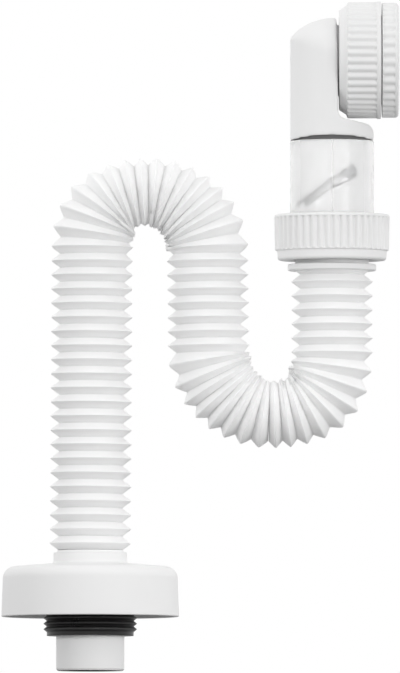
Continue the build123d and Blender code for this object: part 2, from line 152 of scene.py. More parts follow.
class TrapFinish(bpy.types.PropertyGroup):
    """Colours of the finishes."""

    gloss_white: colour_value("Gloss white", "Rosette and elbow", (0.81, 0.81, 0.81))
    satin_white: colour_value("Satin white", "Nuts, collar and adapter", (0.80, 0.80, 0.80))
    tube_white: colour_value("Tube white", "Outlet spigot", (0.92, 0.92, 0.92))
    hose_white: colour_value("Hose white", "Pleated hose", (0.95, 0.95, 0.95))
    clear: colour_value("Clear plastic", "Valve body", (0.98, 0.98, 0.98))
    black: colour_value("Black rubber", "Outlet grommet", (0.008, 0.008, 0.008))
    grey: colour_value("Grey rubber", "Seals and washers", (0.14, 0.14, 0.14))
    silicone: colour_value("Pale silicone", "Flap facing", (0.66, 0.66, 0.65))
    steel: colour_value("Steel", "Pin and spring", (0.56, 0.57, 0.58))


class TrapStudio(bpy.types.PropertyGroup):
    """Light and camera of the studio."""

    head: FloatProperty(
        name="Head light",
        description="Power of the lamp on the head, from the upper left",
        default=0.17,
        unit="POWER",
    )
    outlet: FloatProperty(
        name="Outlet light",
        description="Power of the lamp on the outlet, from the right",
        default=0.34,
        unit="POWER",
    )
    top: FloatProperty(
        name="Top light", description="Power of the lamp overhead", default=0.15, unit="POWER"
    )
    front: FloatProperty(
        name="Front light", description="Power of the lamp in front", default=0.85, unit="POWER"
    )
    ambient: FloatProperty(
        name="Ambient", description="Strength of the light from all round", default=0.93
    )
    distance: length_value("Distance", "Camera to the middle of the trap", 8.0)
    elevation: FloatProperty(
        name="Elevation", description="Camera's height angle", default=math.radians(-2.5), subtype="ANGLE"
    )
    view_height: length_value("View height", "Height of the picture at the trap", 0.316)


# Node helpers


class Wiring:
    """Places nodes in a tree and joins them, so that formulas read as calls."""

    def __init__(self, tree):
        self.tree = tree

    def place(self, kind, feeds=None, **settings):
        """New node of a kind, with its settings and what feeds its inputs."""
        node = self.tree.nodes.new(kind)
        for setting, value in settings.items():
            setattr(node, setting, value)
        self.fill(node, feeds or {})
        return node

    def fill(self, node, feeds):
        """Feeds a node's inputs, by label or number."""
        for label, value in feeds.items():
            self.feed(node.inputs[label], value)

    def feed(self, socket, value):
        """Joins a socket to another, or sets it to a plain value."""
        if isinstance(value, bpy.types.NodeSocket):
            self.tree.links.new(value, socket)
        else:
            socket.default_value = value

    def math(self, operation, *values):
        """Result of a Math node."""
        return self.place("ShaderNodeMath", dict(enumerate(values)), operation=operation).outputs[0]

    def vector(self, operation, *values):
        """Vector result of a Vector Math node, or its value for a dot product or a length."""
        node = self.place("ShaderNodeVectorMath", dict(enumerate(values)), operation=operation)
        return node.outputs["Value" if operation in ("DOT_PRODUCT", "LENGTH") else "Vector"]

    def scaled(self, vector, factor):
        """Vector times a factor."""
        feeds = {"Vector": vector, "Scale": factor}
        return self.place("ShaderNodeVectorMath", feeds, operation="SCALE").outputs["Vector"]

    def attribute(self, name, kind):
        """Named attribute of the geometry."""
        node = self.place("GeometryNodeInputNamedAttribute", {"Name": name}, data_type=kind)
        return node.outputs["Attribute"]


def geometry_tree(name, inputs):
    """Empty geometry tree with its named inputs."""
    tree = bpy.data.node_groups.new(name, "GeometryNodeTree")
    tree.interface.new_socket("Geometry", in_out="INPUT", socket_type="NodeSocketGeometry")
    for label, kind in inputs:
        tree.interface.new_socket(label, in_out="INPUT", socket_type=kind)
    tree.interface.new_socket("Geometry", in_out="OUTPUT", socket_type="NodeSocketGeometry")
    wiring = Wiring(tree)
    return wiring, wiring.place("NodeGroupInput"), wiring.place("NodeGroupOutput")


def end_tree(wiring, start, end, geometry):
    """Realizes what a tree made and gives it its material."""
    realize = wiring.place("GeometryNodeRealizeInstances", {"Geometry": geometry})
    feeds = {"Geometry": realize.outputs["Geometry"], "Material": start.outputs["Material"]}
    finished = wiring.place("GeometryNodeSetMaterial", feeds)
    wiring.feed(end.inputs["Geometry"], finished.outputs["Geometry"])


def linked(name, data):
    """New object of this data, in the scene."""
    obj = bpy.data.objects.new(name, data)
    bpy.context.scene.collection.objects.link(obj)
    return obj


def settle(obj):
    """Turns an object's modifiers into plain mesh."""
    depsgraph = bpy.context.evaluated_depsgraph_get()
    mesh = bpy.data.meshes.new_from_object(
        obj.evaluated_get(depsgraph), preserve_all_data_layers=True, depsgraph=depsgraph
    )
    rough = obj.data
    obj.modifiers.clear()
    obj.data = mesh
    bpy.data.meshes.remove(rough)


def run_tree(obj, tree, values):
    """Runs a geometry tree on an object with these input values and keeps the result as plain mesh."""
    modifier = obj.modifiers.new(tree.name, "NODES")
    modifier.node_group = tree
    for item in tree.interface.items_tree:
        if item.in_out == "INPUT" and item.name in values:
            modifier[item.identifier] = values[item.name]
    settle(obj)


# Geometry trees


def flute_tree():
    """Grip ribs or a screw thread: grooves sunk into a turned blank where its mask says."""
    wiring, start, end = geometry_tree(
        "Flutes",
        [
            ("Mask", "NodeSocketString"),
            ("Count", "NodeSocketInt"),
            ("Twist", "NodeSocketFloat"),
            ("Depth", "NodeSocketFloat"),
            ("Sharpness", "NodeSocketFloat"),
            ("Centre", "NodeSocketVector"),
            ("Axis", "NodeSocketVector"),
            ("Side", "NodeSocketVector"),
            ("Material", "NodeSocketMaterial"),
        ],
    )
    value = start.outputs
    position = wiring.place("GeometryNodeInputPosition").outputs[0]
    place = wiring.vector("SUBTRACT", position, value["Centre"])
    along = wiring.vector("DOT_PRODUCT", place, value["Axis"])
    outward = wiring.vector("SUBTRACT", place, wiring.scaled(value["Axis"], along))
    beside = wiring.vector("CROSS_PRODUCT", value["Axis"], value["Side"])
    angle = wiring.math(
        "ARCTAN2",
        wiring.vector("DOT_PRODUCT", outward, beside),
        wiring.vector("DOT_PRODUCT", outward, value["Side"]),
    )
    # A wave's absolute value has two grooves to a turn, so each flute takes half a turn
    turn = wiring.math("MULTIPLY", wiring.math("MULTIPLY", angle, 0.5), value["Count"])
    twist = wiring.math("MULTIPLY", wiring.math("MULTIPLY", along, math.pi), value["Twist"])
    wave = wiring.math("ABSOLUTE", wiring.math("COSINE", wiring.math("ADD", turn, twist)))
    groove = wiring.math("POWER", wave, value["Sharpness"])
    sink = wiring.math("MULTIPLY", groove, wiring.attribute(value["Mask"], "FLOAT"))
    sink = wiring.math("MULTIPLY", wiring.math("MULTIPLY", sink, value["Depth"]), -1.0)
    offset = wiring.scaled(wiring.vector("NORMALIZE", outward), sink)
    move = wiring.place("GeometryNodeSetPosition", {"Geometry": value["Geometry"], "Offset": offset})
    end_tree(wiring, start, end, move.outputs["Geometry"])
    return wiring.tree


def pleat_tree():
    """Pleated hose: a tube along a guide line, folded into pleats and eased round its bends."""
    wiring, start, end = geometry_tree(
        "Pleats",
        [
            ("Crest Radius", "NodeSocketFloat"),
            ("Pleat Depth", "NodeSocketFloat"),
            ("Sides", "NodeSocketInt"),
            ("Outer Ease", "NodeSocketFloat"),
            ("Inner Close", "NodeSocketFloat"),
            ("Oval", "NodeSocketFloat"),
            ("Crease", "NodeSocketFloat"),
            ("Material", "NodeSocketMaterial"),
        ],
    )
    value = start.outputs
    guide = wiring.place("GeometryNodeMeshToCurve", {"Mesh": value["Geometry"]})
    feeds = {"Resolution": value["Sides"], "Radius": value["Crest Radius"]}
    section = wiring.place("GeometryNodeCurvePrimitiveCircle", feeds)
    feeds = {"Curve": guide.outputs["Curve"], "Profile Curve": section.outputs["Curve"]}
    tube = wiring.place("GeometryNodeCurveToMesh", feeds)

    centre = wiring.attribute("centre", "FLOAT_VECTOR")
    outer_way = wiring.attribute("outer_way", "FLOAT_VECTOR")
    bend = wiring.attribute("bend", "FLOAT")
    share = wiring.math("FRACT", wiring.attribute("phase", "FLOAT"))
    fold = wiring.math("ABSOLUTE", wiring.math("SUBTRACT", wiring.math("MULTIPLY", share, 2.0), 1.0))
    crease = wiring.math("MULTIPLY", value["Crease"], value["Crease"])
    soft = wiring.math("SQRT", wiring.math("ADD", wiring.math("MULTIPLY", fold, fold), crease))
    valley = wiring.math("SUBTRACT", soft, value["Crease"])

    spoke = wiring.vector("SUBTRACT", wiring.place("GeometryNodeInputPosition").outputs[0], centre)
    way = wiring.vector("NORMALIZE", spoke)
    turn = wiring.attribute("turn", "FLOAT")
    side = wiring.math("MULTIPLY", wiring.vector("DOT_PRODUCT", way, outer_way), turn)
    outer = wiring.math("MULTIPLY", wiring.math("MAXIMUM", side, 0.0), value["Outer Ease"])
    inner = wiring.math("MULTIPLY", wiring.math("MINIMUM", side, 0.0), value["Inner Close"])
    ease = wiring.math("SUBTRACT", outer, inner)
    depth = wiring.math("MULTIPLY", value["Pleat Depth"], wiring.math("SUBTRACT", 1.0, ease))
    radius = wiring.math("SUBTRACT", value["Crest Radius"], wiring.math("MULTIPLY", depth, valley))
    rim = wiring.scaled(way, radius)
    flatten = wiring.math("MULTIPLY", wiring.math("POWER", bend, 3.0), value["Oval"])
    squeeze = wiring.math("MULTIPLY", wiring.vector("DOT_PRODUCT", rim, outer_way), flatten)
    rim = wiring.vector("SUBTRACT", rim, wiring.scaled(outer_way, squeeze))
    feeds = {"Geometry": tube.outputs["Mesh"], "Position": wiring.vector("ADD", centre, rim)}
    move = wiring.place("GeometryNodeSetPosition", feeds)
    # The depth into each valley is kept, and the hose's finish uses it for the painted shade in its
    # creases
    feeds = {"Geometry": move.outputs["Geometry"], "Name": "valley", "Value": valley}
    keep = wiring.place("GeometryNodeStoreNamedAttribute", feeds, data_type="FLOAT", domain="POINT")
    end_tree(wiring, start, end, keep.outputs["Geometry"])
    return wiring.tree


# Finishes


def shader_group(name, inputs, outputs):
    """Empty shader group with its named inputs and outputs."""
    group = bpy.data.node_groups.new(name, "ShaderNodeTree")
    for label, default in inputs:
        socket = group.interface.new_socket(label, in_out="INPUT", socket_type="NodeSocketFloat")
        socket.default_value = default
    for label in outputs:
        group.interface.new_socket(label, in_out="OUTPUT", socket_type="NodeSocketFloat")
    wiring = Wiring(group)
    return wiring, wiring.place("NodeGroupInput"), wiring.place("NodeGroupOutput")


def moulding_group():
    """Skin of moulded plastic or rubber: fine grain to raise, and slow cloudiness to tint and dull."""
    wiring, start, end = shader_group(
        "Moulded skin", [("Grain Scale", 1500.0), ("Cloud Scale", 45.0)], ["Grain", "Cloud"]
    )
    place = wiring.place("ShaderNodeTexCoord").outputs["Object"]
    for output, scale, detail in (("Grain", "Grain Scale", 3.0), ("Cloud", "Cloud Scale", 5.0)):
        feeds = {"Vector": place, "Scale": start.outputs[scale], "Detail": detail}
        noise = wiring.place("ShaderNodeTexNoise", feeds)
        wiring.feed(end.inputs[output], noise.outputs["Fac"])
    return wiring.tree


def seam_group():
    """Fine parting line of a two-part mould, where the surface crosses a plane at a distance along X."""
    wiring, start, end = shader_group("Parting line", [("Place", 0.0), ("Width", 0.0004)], ["Line"])
    place = wiring.place("ShaderNodeTexCoord").outputs["Object"]
    spot = wiring.place("ShaderNodeSeparateXYZ", {0: place})
    away = wiring.math("ABSOLUTE", wiring.math("SUBTRACT", spot.outputs["X"], start.outputs["Place"]))
    line = wiring.math("SUBTRACT", 1.0, wiring.math("DIVIDE", away, start.outputs["Width"]))
    wiring.feed(end.inputs["Line"], wiring.math("MAXIMUM", line, 0.0))
    return wiring.tree


def group_node(wiring, name, **values):
    """Shared shader group, placed with its own values."""
    node = wiring.place("ShaderNodeGroup", node_tree=bpy.data.node_groups[name])
    for label, value in values.items():
        wiring.feed(node.inputs[label.replace("_", " ").title()], value)
    return node.outputs


def tinted(colour, factor):
    """Colour made darker or lighter by a factor, with full alpha."""
    return (*(min(1.0, part * factor) for part in colour), 1.0)


def mixed(wiring, factor, first, second):
    """Colour between two, by a factor."""
    feeds = {"Factor": factor, "A": first, "B": second}
    return wiring.place("ShaderNodeMix", feeds, data_type="RGBA").outputs["Result"]


def ranged(wiring, value, low, high):
    """Cloudiness spread over a range of values."""
    limits = {"From Min": NOISE_LOW, "From Max": NOISE_HIGH, "To Min": low, "To Max": high}
    return wiring.place("ShaderNodeMapRange", {"Value": value, **limits}).outputs["Result"]


def skin(name, colour, rough, grain=1500.0, raised=0.00001, mottle=0.97, specular=0.5):
    """Makes a material of moulded plastic or rubber; gives its wiring, its shader and its colour."""
    material = bpy.data.materials.new(FINISH + name)
    material.use_nodes = True
    wiring = Wiring(material.node_tree)
    shader = material.node_tree.nodes["Principled BSDF"]
    surface = group_node(wiring, "Moulded skin", grain_scale=grain)
    tint = mixed(wiring, surface["Cloud"], tinted(colour, mottle), tinted(colour, 1.0))
    feeds = {"Strength": 0.6, "Distance": raised, "Height": surface["Grain"]}
    bump = wiring.place("ShaderNodeBump", feeds)
    feeds = {
        "Specular IOR Level": specular,
        "Base Color": tint,
        "Roughness": ranged(wiring, surface["Cloud"], *rough),
        "Normal": bump.outputs["Normal"],
    }
    wiring.fill(shader, feeds)
    return wiring, shader, tint


def finishes(colours):
    """Makes all materials of the trap, named for the record's slots."""
    moulding_group()
    seam_group()
    skin("white_gloss", colours.gloss_white, (0.42, 0.50))
    skin("white_moulding", colours.satin_white, (0.36, 0.46))
    skin("white_tube", colours.tube_white, (0.34, 0.44))
    skin("seal_rubber", colours.grey, (0.5, 0.65), 2600.0, 0.00002, 0.75, 0.3)
    skin("pale_silicone", colours.silicone, (0.45, 0.6), 2000.0, 0.00001, 0.9)
    shader = skin("steel", colours.steel, (0.22, 0.34), 3000.0, 0.000005, 0.85)[1]
    shader.inputs["Metallic"].default_value = 1.0

    # Painted highlight: the thin crests of the fins are coloured paler, in place of the light they would
    # catch
    wiring, shader, tint = skin(
        "grommet_rubber", colours.black, (0.26, 0.36), 2600.0, 0.00001, 0.6, 0.5
    )
    fin_crest, sharpness, painted_highlight_factor = 0.0219, 60.0, 10.0
    spot = wiring.place("ShaderNodeTexCoord").outputs["Object"]
    away = wiring.vector("LENGTH", wiring.vector("MULTIPLY", spot, (1.0, 1.0, 0.0)))
    outward = wiring.math("MINIMUM", wiring.math("DIVIDE", away, fin_crest), 1.0)
    fin = wiring.math("POWER", outward, sharpness)
    wiring.feed(shader.inputs["Base Color"], mixed(wiring, fin, tint, tinted(colours.black, painted_highlight_factor)))

    # The hose lets some light through, and its creases get painted shade: the colour goes a little darker
    # towards the bottom of each valley
    wiring, shader, tint = skin("hose_white", colours.hose_white, (0.42, 0.52))
    sharpness, share, darker = 8.0, 0.30, 0.55
    depth = wiring.place("ShaderNodeAttribute", attribute_name="valley").outputs["Fac"]
    crease = wiring.math("MULTIPLY", wiring.math("POWER", depth, sharpness), share)
    shade = tinted(colours.hose_white, darker)
    wiring.feed(shader.inputs["Base Color"], mixed(wiring, crease, tint, shade))
    through = {"Weight": 0.3, "Radius": (1.0, 1.0, 1.0), "Scale": 0.003}
    wiring.fill(shader, {f"Subsurface {label}": value for label, value in through.items()})

    # The clear plastic lets most light through to what is behind it, and shows its parting line
    wiring, shader, tint = skin("clear_plastic", colours.clear, (0.0, 0.01), 900.0, 0.0, 0.99)
    wiring.fill(shader, {"Transmission Weight": 0.74, "IOR": 1.3})
    light_through, share, darker = 0.85, 0.35, 0.75
    shadow = wiring.place("ShaderNodeLightPath").outputs["Is Shadow Ray"]
    passed = wiring.math("MULTIPLY", shadow, light_through)
    wiring.feed(shader.inputs["Alpha"], wiring.math("SUBTRACT", 1.0, passed))
    line = group_node(wiring, "Parting line", place=HEAD_X * MM)["Line"]
    seam = wiring.math("MULTIPLY", line, share)
    shade = tinted(colours.clear, darker)
    wiring.feed(shader.inputs["Base Color"], mixed(wiring, seam, tint, shade))


def finish(slot):
    """Material of one of the record's slots."""
    return bpy.data.materials[FINISH + slot]


# Turned and copied pieces


def rounded(corners, steps=5):
    """Closed outline from corners given as radius, place along the axis and rounding, in millimetres."""
    # The share of an edge that one of its corners may take, and the points that keep a long edge flat
    most, long_edge, margin = 0.48, 0.8, 0.15
    arcs = []
    earlier, later = corners[-1:] + corners[:-1], corners[1:] + corners[:1]
    for before, corner, after in zip(earlier, corners, later):
        point = Vector(corner[:2])
        back = Vector(before[:2]) - point
        ahead = Vector(after[:2]) - point
        if corner[2] == 0:
            arcs.append([point])
            continue
        half = back.angle(ahead) / 2
        run = min(corner[2] / math.tan(half), most * back.length, most * ahead.length)
        first = point + back.normalized() * run
        last = point + ahead.normalized() * run
        bisector = (back.normalized() + ahead.normalized()).normalized()
        hub = point + bisector * (run / math.cos(half))
        sweep = (first - hub).angle_signed(last - hub)
        arc = []
        spoke = first - hub
        for step in range(steps + 1):
            turn = -sweep * step / steps
            across = spoke.x * math.cos(turn) - spoke.y * math.sin(turn)
            along = spoke.x * math.sin(turn) + spoke.y * math.cos(turn)
            arc.append(hub + Vector((across, along)))
        arcs.append(arc)
    outline = []
    for arc, following in zip(arcs, arcs[1:] + arcs[:1]):
        outline += arc
        edge = following[0] - arc[-1]
        if edge.length > long_edge:
            outline.append(arc[-1] + edge.normalized() * margin)
            outline.append(following[0] - edge.normalized() * margin)
    return outline


def with_rows(outline, rows, inside):
    """Outline with further points where its runs outside a radius pass these places along the axis."""
    full = []
    margin = 0.02
    for point, following in zip(outline, outline[1:] + outline[:1]):
        full.append(point)
        if min(point.x, following.x) < inside:
            continue
        low, high = sorted((point.y, following.y))
        passed = [row for row in rows if low + margin < row < high - margin]
        for row in passed if following.y > point.y else passed[::-1]:
            full.append(point.lerp(following, (row - point.y) / (following.y - point.y)))
    return full


def flute_rows(low, high, ease, step):
    """Places along the axis that a fluted stretch needs: close together at its ends, evenly between."""
    ends = [ease * share for share in (0, 0.03, 0.12, 0.3, 0.6, 1)]
    count = max(1, round((high - low - 2 * ease) / step))
    middle = [low + ease + (high - low - 2 * ease) * row / count for row in range(1, count)]
    return [low + end for end in ends] + middle + [high - end for end in ends[::-1]]


def ribs(low, high, ease, inside):
    """Stretch of grip ribs between two places along the axis, eased at its ends, outside a radius."""
    return ("rib", low, high, ease, RIB_STEP, inside)


def thread(low, high, ease, inside):
    """Stretch of screw thread between two places along the axis, eased at its ends, outside a radius."""
    return ("thread", low, high, ease, THREAD_STEP, inside)


def turned(name, outline, axis, segments=128, flutes=()):
    """Outline turned about the axis of the outlet, head or inlet, with masks for its fluted stretches."""
    for mask, low, high, ease, step, inside in flutes:
        outline = with_rows(outline, flute_rows(low, high, ease, step), inside)
    corners = []
    for place in range(segments):
        turn = 2 * math.pi * place / segments
        across, up = math.cos(turn), math.sin(turn)
        for point in outline:
            if axis == "inlet":
                corner = Vector((point.y, point.x * across, INLET_Z + point.x * up))
            else:
                centre = HEAD_X if axis == "head" else 0.0
                corner = Vector((centre + point.x * across, point.x * up, point.y))
            corners.append(corner * MM)
    count = len(outline)
    faces = []
    for place in range(segments):
        here, beside = place * count, (place + 1) % segments * count
        for point in range(count):
            following = (point + 1) % count
            faces.append((here + point, beside + point, beside + following, here + following))
    mesh = bpy.data.meshes.new(name)
    mesh.from_pydata(corners, [], faces)
    for mask, low, high, ease, step, inside in flutes:
        weights = []
        for point in outline:
            near = min(point.y - low, high - point.y) / ease
            share = max(0.0, min(1.0, near)) if point.x >= inside else 0.0
            weights.append(math.sqrt(1 - (1 - share) ** 2))
        layer = mesh.attributes.new(mask, "FLOAT", "POINT")
        layer.data.foreach_set("value", weights * segments)
    form = bmesh.new()
    form.from_mesh(mesh)
    bmesh.ops.recalc_face_normals(form, faces=form.faces)
    form.to_mesh(mesh)
    form.free()
    return linked(name, mesh)


def fluted(obj, mask, axis, count, slot):
    """Sinks a count of ribs or threads into a turned blank, where its mask of that name says."""
    sizes = bpy.context.scene.trap_grip
    level = axis == "inlet"
    wound = mask == "thread"
    run_tree(
        obj,
        bpy.data.node_groups["Flutes"],
        {
            "Mask": mask,
            "Count": count,
            "Twist": 1 / sizes.thread_pitch if wound else 0.0,
            "Depth": sizes.thread_depth if wound else sizes.rib_depth,
            "Sharpness": THREAD_SHARPNESS if wound else RIB_SHARPNESS,
            "Centre": (0.0, 0.0, INLET_Z * MM) if level else (HEAD_X * MM, 0.0, 0.0),
            "Axis": (1.0, 0.0, 0.0) if level else (0.0, 0.0, 1.0),
            "Side": (0.0, -1.0, 0.0),
            "Material": finish(slot),
        },
    )


def merged_copy(node, name):
    """Copy of a frame node's mesh with its loose triangles joined."""
    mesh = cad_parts[node].data.copy()
    mesh.name = name
    form = bmesh.new()
    form.from_mesh(mesh)
    bmesh.ops.remove_doubles(form, verts=form.verts, dist=JOIN)
    form.to_mesh(mesh)
    form.free()
    return linked(name, mesh)


def softened(obj, voxel, passes, weight):
    """Rounds a closed piece's edges as a mould does, more where the weight of a point is higher."""
    remesh = obj.modifiers.new("Even", "REMESH")
    remesh.mode = "VOXEL"
    remesh.voxel_size = voxel
    settle(obj)
    group = obj.vertex_groups.new(name="round")
    for vertex in obj.data.vertices:
        group.add([vertex.index], weight(vertex.co), "REPLACE")
    smooth = obj.modifiers.new("Round", "SMOOTH")
    smooth.factor = 0.5
    smooth.iterations = passes
    smooth.vertex_group = "round"
    settle(obj)
    obj.vertex_groups.clear()


def dress(obj, slot, body, *nodes, sharp=32):
    """Gives a piece its finish and shading, and sets it on its body in place of its nodes."""
    obj.data.materials.clear()
    obj.data.materials.append(finish(slot))
    obj.data.shade_smooth()
    obj.data.set_sharp_from_angle(angle=math.radians(sharp))
    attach(obj, body)
    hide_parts(*nodes)


def coat(node, slot):
    """Gives a frame node that stays its finish."""
    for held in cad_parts[node].material_slots:
        held.material = finish(slot)


# Operators, from the outlet up to the inlet


class TRAP_OT_finishes(bpy.types.Operator):
    """Make the finishes and the geometry trees that the pieces share"""

    bl_idname = "trap.finishes"
    bl_label = "Finishes"

    def execute(self, context):
        finishes(context.scene.trap_finish)
        flute_tree()
        pleat_tree()
        return {"FINISHED"}


class TRAP_OT_outlet(bpy.types.Operator):
    """Turn the spigot, the finned rubber grommet and the rosette"""

    bl_idname = "trap.outlet"
    bl_label = "Outlet"

    def execute(self, context):
        top = reach("outlet_spigot", 2)[1]
        low, high = reach("outlet_grommet", 2)
        spigot = rounded([
            (15.4, 0, 0.2),
            (16.0, 0.9, 0.3),
            (16.0, low, 0.15),
            (15.5, low, 0.1),
            (15.5, top, 0.3),
            (14.2, top, 0.3),
            (14.2, 0, 0.4),
        ])
        dress(turned("spigot", spigot, "outlet"), "white_tube", "outlet", "outlet_spigot")

        fins, fin_foot, pitch = 6, 1.8, 2.6
        bore, root, tip = 15.55, 20.4, 22.0
        edge = [(root, low, 0.25)]
        for fin in range(fins):
            start = low + fin_foot + fin * pitch
            edge += [(root, start, 0.2), (tip, start + pitch / 2, 0.12)]
        edge += [(root, high, 0.2), (bore, high, 0.2), (bore, low, 0.2)]
        grommet = turned("grommet", rounded(edge, steps=3), "outlet")
        dress(grommet, "grommet_rubber", "outlet", "outlet_grommet", sharp=50)

        rim, neck = reach("escutcheon", 2)
        bell = rounded(
            [
                (41.7, rim, 0.5),
                (40.85, rim + 23.2, 5.6),
                (17.25, rim + 25.1, 1.2),
                (17.25, neck, 0.5),
                (15.65, neck, 0.4),
                (15.65, rim + 23.0, 0.6),
                (33.2, rim + 21.4, 5.0),
                (38.7, rim + 17.8, 5.0),
                (39.5, rim, 0.5),
            ],
            steps=10,
        )
        dress(turned("rosette", bell, "outlet", segments=192), "white_gloss", "escutcheon", "escutcheon")
        return {"FINISHED"}


def hose_route(steps=60):
    """Points of the hose's centre line in millimetres, from the foot to past the head."""
    # How full the bends' shoulders are, at the ends of the S and in its middle
    outer, inner = 0.68, 0.51
    foot, left_top = Vector((0, 56.5)), Vector((0.9, 197.9))
    crown, middle_top = Vector((27.95, 224.9)), Vector((55.0, 197.9))
    middle_low, dip = Vector((55.6, 149.6)), Vector((84.55, 120.4))
    right_low, head = Vector((HEAD_X, 149.6)), Vector((HEAD_X, 200.0))
    bends = [
        (left_top, Vector((left_top.x, crown.y)), crown, outer),
        (crown, Vector((middle_top.x, crown.y)), middle_top, inner),
        (middle_low, Vector((middle_low.x, dip.y)), dip, inner),
        (dip, Vector((right_low.x, dip.y)), right_low, outer),
    ]

    def leg(start, end):
        return [start.lerp(end, step / steps) for step in range(steps)]

    def bend(start, corner, end, shoulder):
        first, last = start.lerp(corner, shoulder), end.lerp(corner, shoulder)
        points = []
        for step in range(steps):
            share = step / steps
            rest = 1 - share
            points.append(
                start * rest**3 + first * 3 * rest**2 * share + last * 3 * rest * share**2 + end * share**3
            )
        return points

    route = leg(foot, left_top) + bend(*bends[0]) + bend(*bends[1]) + leg(middle_top, middle_low)
    return route + bend(*bends[2]) + bend(*bends[3]) + leg(right_low, head)


def pleat_line(sizes, head):
    """Counts pleats along the hose's route, up to the collar at its head.

    Gives a function of a count of pleats, which tells the place, the way on and how far it turns there,
    and the count at the head.
    """
    # The collar's mouth, the slope from which pleats open to the pitch of the legs, the points each way
    # that the turn is averaged over, and the radius at which a bend turns fully
    mouth = 17.0
    level = math.cos(math.radians(30))
    span, tightness = 8, 26.0
    route = hose_route()
    phase = [0.0]
    ways = []
    for here, ahead in zip(route, route[1:]):
        way = (ahead - here).normalized()
        upright = max(0.0, (abs(way.y) - level) / (1 - level))
        pitch = (sizes.bend_pitch + (sizes.leg_pitch - sizes.bend_pitch) * upright) / MM
        phase.append(phase[-1] + (ahead - here).length / pitch)
        ways.append(way)
    ways.append(ways[-1])

    # The last valley comes where its flank flares out to the collar's mouth
    slope = 2 * sizes.depth / sizes.leg_pitch
    flare = (mouth - (sizes.crest - sizes.depth) / MM) / slope
    last_valley = head - flare
    index = max(i for i, point in enumerate(route) if point.y <= last_valley)
    share = (last_valley - route[index].y) / (route[index + 1].y - route[index].y)
    reached = phase[index] + share * (phase[index + 1] - phase[index])
    phase = [value * sizes.pleats / reached for value in phase]

    rates = [
        (ahead - way).length / (beyond - here).length
        for way, ahead, here, beyond in zip(ways, ways[1:], route, route[1:])
    ]
    turns = []
    for i in range(len(route)):
        near = rates[max(0, i - span) : i + span]
        turns.append(min(1.0, tightness * sum(near) / len(near)))

    def at(count):
        after = next((n for n, value in enumerate(phase) if value > count), len(phase) - 1)
        i = max(0, min(len(phase) - 2, after - 1))
        t = (count - phase[i]) / (phase[i + 1] - phase[i])
        way = ways[i].lerp(ways[i + 1], t).normalized()
        return route[i].lerp(route[i + 1], t), way, turns[i] + (turns[i + 1] - turns[i]) * t

    return at, sizes.pleats + flare * MM / sizes.leg_pitch


def guide_line(name, stretch, at):
    """Guide line of a length of hose, with what its pleats need to know at each point."""
    # The hose turns one way left of its middle leg and the other way right of it
    middle = 55.3
    spots = [at(place) for place in stretch]
    points = [Vector((point.x, 0.0, point.y)) * MM for point, way, turn in spots]
    outer_ways = [
        (-way.y, 0.0, way.x) if point.x < middle else (way.y, 0.0, -way.x)
        for point, way, turn in spots
    ]
    mesh = bpy.data.meshes.new(name)
    mesh.from_pydata(points, [(i, i + 1) for i in range(len(points) - 1)], [])
    layers = {
        "phase": ("FLOAT", "value", stretch),
        "turn": ("FLOAT", "value", [turn for point, way, turn in spots]),
        "bend": ("FLOAT", "value", [abs(way.x) for point, way, turn in spots]),
        "centre": ("FLOAT_VECTOR", "vector", [part for point in points for part in point]),
        "outer_way": ("FLOAT_VECTOR", "vector", [part for way in outer_ways for part in way]),
    }
    for label, (kind, field, values) in layers.items():
        layer = mesh.attributes.new(label, kind, "POINT")
        layer.data.foreach_set(field, values)
    return linked(name, mesh)


class TRAP_OT_hose(bpy.types.Operator):
    """Fold the pleated hose along its S-shaped route, in two lengths"""

    bl_idname = "trap.hose"
    bl_label = "Pleated hose"

    def execute(self, context):
        sizes = context.scene.trap_hose
        at, full = pleat_line(sizes, reach("hose_collar", 2)[0])
        # Points along a pleat, closest at its crease and its crest
        shares = (0, 0.05, 0.14, 0.28, 0.41, 0.47, 0.5, 0.53, 0.59, 0.72, 0.86, 0.95)
        places = [pleat + share for pleat in range(sizes.pleats + 1) for share in shares]
        places = [place for place in places if place < full] + [full]
        dip = min(range(sizes.pleats // 2, sizes.pleats), key=lambda pleat: at(pleat)[0].y)
        lower = [place for place in places if place <= dip]
        upper = [place for place in places if place >= dip]
        for name, stretch, bodies, start, end in (
            ("hose_lower", lower, ("outlet", "hose"), (0.0, 0.0, 0.060), (0.0, 0.0, 0.100)),
            (
                "hose_upper",
                upper,
                ("hose", "hose_end"),
                (HEAD_X * MM, 0.0, 0.152),
                (HEAD_X * MM, 0.0, 0.178),
            ),
        ):
            obj = guide_line(name, stretch, at)
            run_tree(
                obj,
                bpy.data.node_groups["Pleats"],
                {
                    "Crest Radius": sizes.crest,
                    "Pleat Depth": sizes.depth,
                    "Sides": sizes.sides,
                    "Outer Ease": sizes.ease,
                    "Inner Close": sizes.close,
                    "Oval": sizes.oval,
                    "Crease": 0.06,
                    "Material": finish("hose_white"),
                },
            )
            skin_wall = obj.modifiers.new("Wall", "SOLIDIFY")
            skin_wall.thickness = sizes.wall
            skin_wall.offset = -1.0
            settle(obj)
            obj.data.shade_smooth()
            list(bodies)
            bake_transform(obj)
            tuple(start)
            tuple(end)
            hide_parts("hose")
        return {"FINISHED"}


